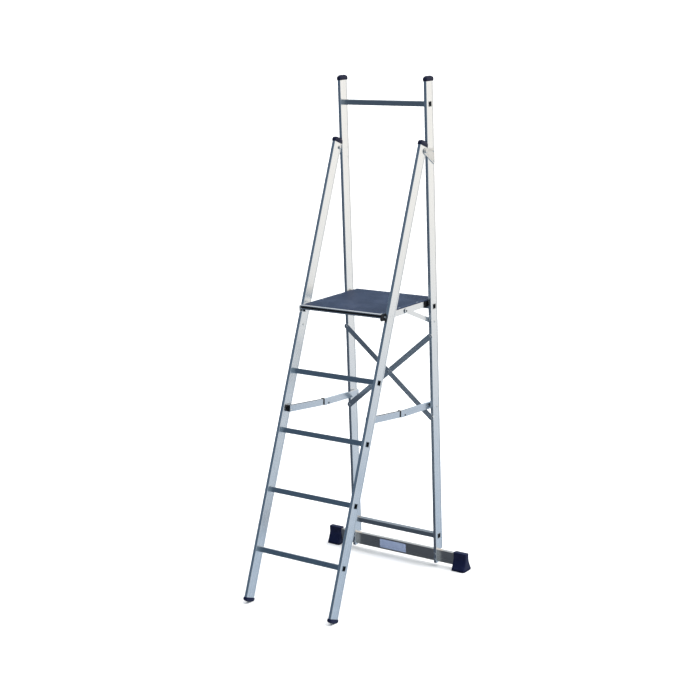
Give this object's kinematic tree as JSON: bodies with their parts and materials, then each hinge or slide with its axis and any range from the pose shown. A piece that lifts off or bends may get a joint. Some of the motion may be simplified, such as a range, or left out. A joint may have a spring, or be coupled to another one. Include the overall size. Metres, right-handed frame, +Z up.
{
  "type": "platform step ladder",
  "caption": "Tall free-standing platform step ladder with a sloping front ladder, an upright rear frame rising to a guard rail, and a wide stabiliser bar on rubber boots.",
  "frame": {"origin": "on the floor, under the middle of the open ladder (bottom centre of its bounding box)", "axes": "+Z up; +Y from the climbing side towards the rear frame; +X to the right of a user who climbs"},
  "size_m": [0.816, 0.9272, 2.346],
  "materials": {
    "aluminium": "mill-finished extrusion, faintly drawn along its length",
    "rung_aluminium": "ribbed extrusion",
    "deck_board": "grooved dark slate board",
    "navy_rubber": "moulded, satin",
    "navy_plastic": "moulded, low sheen",
    "black_plastic": "moulded",
    "zinc_steel": "zinc-plated fasteners",
    "dark_steel": "black",
    "plate_steel": "stamped plate",
    "label_sheet": "blank plate"
  },
  "bodies": {
    "rear_frame": {"blank_label": "label_sheet", "cross_brace_back": "aluminium", "cross_brace_front": "aluminium", "cross_brace_rivets": "zinc_steel", "cross_brace_washers": "zinc_steel", "guard_rung": "rung_aluminium", "hinge_bolts": "zinc_steel", "hinge_plate_left": "plate_steel", "hinge_plate_right": "plate_steel", "hinge_rivets": "zinc_steel", "rear_bottom_rung": "rung_aluminium", "rear_cap_left": "navy_plastic", "rear_cap_right": "navy_plastic", "rear_platform_rung": "rung_aluminium", "rear_stile_left": "aluminium", "rear_stile_right": "aluminium", "stabiliser_bar": "aluminium", "stabiliser_bolts": "zinc_steel", "stabiliser_boot_left": "navy_rubber", "stabiliser_boot_right": "navy_rubber", "stay_rear_bolts": "zinc_steel", "strut_rear_bolts": "zinc_steel"},
    "front_frame": {"front_cap_left": "navy_plastic", "front_cap_right": "navy_plastic", "front_foot_left": "navy_rubber", "front_foot_right": "navy_rubber", "front_rung_1": "rung_aluminium", "front_rung_2": "rung_aluminium", "front_rung_3": "rung_aluminium", "front_rung_4": "rung_aluminium", "front_stile_left": "aluminium", "front_stile_right": "aluminium", "front_stile_rivets": "zinc_steel", "platform_ear_left": "dark_steel", "platform_ear_right": "dark_steel", "platform_pivot_pins": "zinc_steel"},
    "platform": {"platform_deck": "deck_board", "platform_edge_strip": "black_plastic", "platform_front_edge": "aluminium", "platform_hook_left": "black_plastic", "platform_hook_right": "black_plastic", "platform_member_back": "aluminium", "platform_member_front": "aluminium", "platform_rail_left": "aluminium", "platform_rail_right": "aluminium", "platform_screws": "zinc_steel"},
    "strut_left": {"platform_strut_left": "aluminium"},
    "stay_rear_left": {"stay_knuckle_pin_left": "zinc_steel", "stay_rear_left": "aluminium"},
    "stay_front_left": {"stay_end_left": "black_plastic", "stay_front_left": "aluminium", "stay_front_pin_left": "zinc_steel", "stay_knuckle_left": "black_plastic"},
    "strut_right": {"platform_strut_right": "aluminium"},
    "stay_rear_right": {"stay_knuckle_pin_right": "zinc_steel", "stay_rear_right": "aluminium"},
    "stay_front_right": {"stay_end_right": "black_plastic", "stay_front_pin_right": "zinc_steel", "stay_front_right": "aluminium", "stay_knuckle_right": "black_plastic"}
  },
  "joints": [
    {"name": "fold", "type": "hinge", "parent": "rear_frame", "child": "front_frame", "pos_m": [0, 0.37036, 2.0101], "axis": [1, 0, 0], "range_deg": [0, 18.5]},
    {"name": "platform_tilt", "type": "hinge", "parent": "front_frame", "child": "platform", "pos_m": [0, 0.04063, 1.302], "axis": [1, 0, 0], "range_deg": [0, 62.8]},
    {"name": "strut_swing_left", "type": "hinge", "parent": "rear_frame", "child": "strut_left", "pos_m": [0, 0.41963, 1.211], "axis": [1, 0, 0], "range_deg": [-38.3, 0]},
    {"name": "stay_swing_left", "type": "hinge", "parent": "rear_frame", "child": "stay_rear_left", "pos_m": [0, 0.42763, 0.797], "axis": [1, 0, 0], "range_deg": [-76.9, 0]},
    {"name": "knuckle_fold_left", "type": "hinge", "parent": "stay_rear_left", "child": "stay_front_left", "pos_m": [0, 0.19063, 0.8095], "axis": [1, 0, 0], "range_deg": [0, 155.3]},
    {"name": "strut_swing_right", "type": "hinge", "parent": "rear_frame", "child": "strut_right", "pos_m": [0, 0.41963, 1.211], "axis": [1, 0, 0], "range_deg": [-38.3, 0]},
    {"name": "stay_swing_right", "type": "hinge", "parent": "rear_frame", "child": "stay_rear_right", "pos_m": [0, 0.42763, 0.797], "axis": [1, 0, 0], "range_deg": [-76.9, 0]},
    {"name": "knuckle_fold_right", "type": "hinge", "parent": "stay_rear_right", "child": "stay_front_right", "pos_m": [0, 0.19063, 0.8095], "axis": [1, 0, 0], "range_deg": [0, 155.3]}
  ],
  "couplings": [
    {"joint": "platform_tilt", "follows": "fold", "ratio": 3.3939},
    {"joint": "strut_swing_left", "follows": "fold", "ratio": -2.0652},
    {"joint": "stay_swing_left", "follows": "fold", "ratio": -4.1514},
    {"joint": "knuckle_fold_left", "follows": "fold", "ratio": 8.3909},
    {"joint": "strut_swing_right", "follows": "fold", "ratio": -2.0652},
    {"joint": "stay_swing_right", "follows": "fold", "ratio": -4.1514},
    {"joint": "knuckle_fold_right", "follows": "fold", "ratio": 8.3909}
  ]
}
